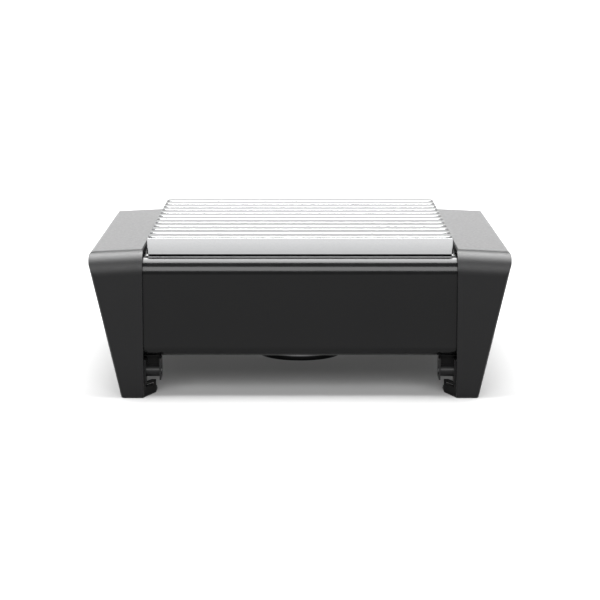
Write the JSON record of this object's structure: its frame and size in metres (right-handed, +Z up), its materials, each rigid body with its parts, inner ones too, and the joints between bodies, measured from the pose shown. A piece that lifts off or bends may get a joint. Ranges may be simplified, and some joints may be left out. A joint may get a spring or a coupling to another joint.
{
  "type": "hot plate burner",
  "caption": "Tabletop food warmer: a ridged metal hot plate over a black steel trough between plastic end caps with legs, heated by a tea light in a lift-out cup.",
  "frame": {"origin": "floor level under the centre of the part, at the soles of the feet", "axes": "+X to the right along the width over both end caps, -Y to the front, +Z up through the hot plate"},
  "size_m": [0.264, 0.22, 0.1005],
  "materials": {
    "body_paint": "satin black powder coat",
    "inner_paint": "matt black paint",
    "cap_plastic": "matt, fine moulded texture",
    "foot_rubber": "matt",
    "pad_silicone": "matt",
    "screw_steel": "black oxide",
    "plate_aluminium": "satin, fine grain along the ridges",
    "cup_steel": "polished pressed steel",
    "foil_aluminium": "bright pressed foil",
    "wax": "waxy, slightly translucent",
    "sustainer_steel": "tinplate",
    "wick_cotton": "waxed cotton"
  },
  "bodies": {
    "housing": {"body_shell": "body_paint", "left_end_plate": "inner_paint", "right_end_plate": "inner_paint", "left_leg_bracket": "inner_paint", "right_leg_bracket": "inner_paint", "left_end_cap": "cap_plastic", "right_end_cap": "cap_plastic", "foot_front_left": "foot_rubber", "foot_front_right": "foot_rubber", "foot_rear_left": "foot_rubber", "foot_rear_right": "foot_rubber", "left_cap_screws": "screw_steel", "right_cap_screws": "screw_steel", "left_rivets": "screw_steel", "right_rivets": "screw_steel", "plate_pad_front_left": "pad_silicone", "plate_pad_front_right": "pad_silicone", "plate_pad_rear_left": "pad_silicone", "plate_pad_rear_right": "pad_silicone"},
    "hot_plate": {"hot_plate": "plate_aluminium"},
    "burner_cup": {"burner_cup": "cup_steel"},
    "tealight": {"tealight_cup": "foil_aluminium", "tealight_wax": "wax", "wick_sustainer": "sustainer_steel", "tealight_wick": "wick_cotton"}
  },
  "joints": [
    {"name": "hot_plate_lift", "type": "slide", "parent": "housing", "child": "hot_plate", "axis": [0, 0, 1], "range_m": [0, 0.08]},
    {"name": "burner_cup_lift", "type": "slide", "parent": "housing", "child": "burner_cup", "axis": [0, 0, 1], "range_m": [0, 0.035]},
    {"name": "tealight_lift", "type": "slide", "parent": "burner_cup", "child": "tealight", "axis": [0, 0, 1], "range_m": [0, 0.025]}
  ]
}
